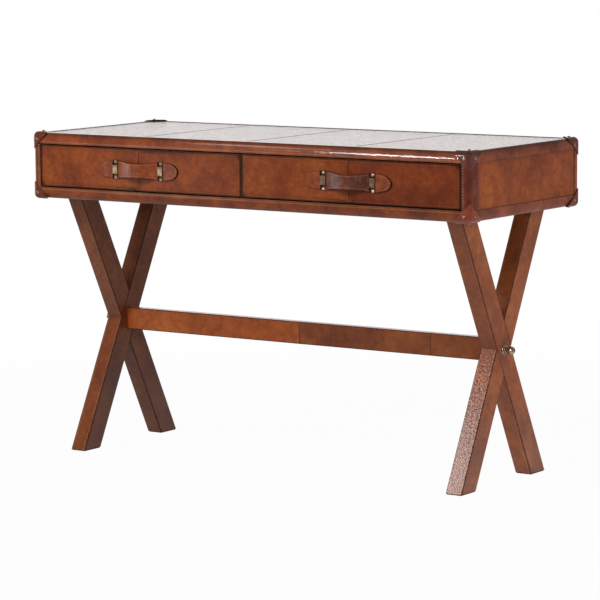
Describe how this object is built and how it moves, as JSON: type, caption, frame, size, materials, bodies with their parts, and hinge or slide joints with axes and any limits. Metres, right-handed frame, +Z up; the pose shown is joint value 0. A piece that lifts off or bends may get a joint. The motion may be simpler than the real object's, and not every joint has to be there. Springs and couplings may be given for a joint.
{
  "type": "campaign desk",
  "caption": "Leather-covered campaign desk: a shallow case with strap-handled drawers on crossed X-frame legs tied by a stretcher with brass knobs.",
  "frame": {"origin": "on the floor, below the middle of the desk's overall length and depth", "axes": "+X to the sitter's right along the length, -Y towards the sitter out of the drawers, +Z up"},
  "size_m": [1.2148, 0.5038, 0.7699],
  "materials": {
    "case_wood": "bare hardwood boards",
    "drawer_wood": "waxed pale hardwood",
    "panel_leather": "polished mottled chestnut hide",
    "strip_leather": "polished hide strip, stitched along its edges",
    "cap_leather": "moulded thick hide, dark and glossy",
    "frame_leather": "polished hide wrapped over wood",
    "strap_leather": "bridle leather with burnished edges",
    "antique_brass": "aged brass",
    "steel": "plain zinc-plated",
    "pad_rubber": "dark foot pad"
  },
  "bodies": {
    "desk_frame": {"back_leather": "panel_leather", "case_back_board": "case_wood", "case_bottom_board": "case_wood", "case_divider": "case_wood", "case_left_end_board": "case_wood", "case_right_end_board": "case_wood", "case_top_board": "case_wood", "corner_cap_bottom_back_left": "cap_leather", "corner_cap_bottom_back_right": "cap_leather", "corner_cap_bottom_front_left": "cap_leather", "corner_cap_bottom_front_right": "cap_leather", "corner_cap_top_back_left": "cap_leather", "corner_cap_top_back_right": "cap_leather", "corner_cap_top_front_left": "cap_leather", "corner_cap_top_front_right": "cap_leather", "corner_nails": "antique_brass", "drawer_runners": "drawer_wood", "drawer_stops": "drawer_wood", "edge_strip_back_left": "strip_leather", "edge_strip_back_right": "strip_leather", "edge_strip_bottom_back": "strip_leather", "edge_strip_bottom_front": "strip_leather", "edge_strip_bottom_left": "strip_leather", "edge_strip_bottom_right": "strip_leather", "edge_strip_front_left": "strip_leather", "edge_strip_front_right": "strip_leather", "edge_strip_top_back": "strip_leather", "edge_strip_top_front": "strip_leather", "edge_strip_top_left": "strip_leather", "edge_strip_top_right": "strip_leather", "foot_pads": "pad_rubber", "knob_washers": "antique_brass", "left_end_leather": "panel_leather", "left_leg_back_foot": "frame_leather", "left_leg_front_foot": "frame_leather", "leg_bolts": "steel", "right_end_leather": "panel_leather", "right_leg_back_foot": "frame_leather", "right_leg_front_foot": "frame_leather", "stretcher": "frame_leather", "stretcher_studs": "steel", "top_leather_panels": "panel_leather"},
    "left_drawer": {"left_drawer_back": "drawer_wood", "left_drawer_bottom": "drawer_wood", "left_drawer_front": "drawer_wood", "left_drawer_leather": "panel_leather", "left_drawer_sides": "drawer_wood", "left_handle_keepers": "antique_brass", "left_handle_screws": "antique_brass", "left_handle_strap": "strap_leather"},
    "right_drawer": {"right_drawer_back": "drawer_wood", "right_drawer_bottom": "drawer_wood", "right_drawer_front": "drawer_wood", "right_drawer_leather": "panel_leather", "right_drawer_sides": "drawer_wood", "right_handle_keepers": "antique_brass", "right_handle_screws": "antique_brass", "right_handle_strap": "strap_leather"},
    "left_knob": {"left_knob": "antique_brass"},
    "right_knob": {"right_knob": "antique_brass"}
  },
  "joints": [
    {"name": "left_drawer_slide", "type": "slide", "parent": "desk_frame", "child": "left_drawer", "axis": [0, -1, 0], "range_m": [0, 0.3]},
    {"name": "left_knob_turn", "type": "hinge", "parent": "desk_frame", "child": "left_knob", "pos_m": [-0.551, 0.00755, 0.30275], "axis": [-1, 0, 0], "continuous": true},
    {"name": "right_drawer_slide", "type": "slide", "parent": "desk_frame", "child": "right_drawer", "axis": [0, -1, 0], "range_m": [0, 0.3]},
    {"name": "right_knob_turn", "type": "hinge", "parent": "desk_frame", "child": "right_knob", "pos_m": [0.551, 0.00755, 0.30275], "axis": [1, 0, 0], "continuous": true}
  ]
}
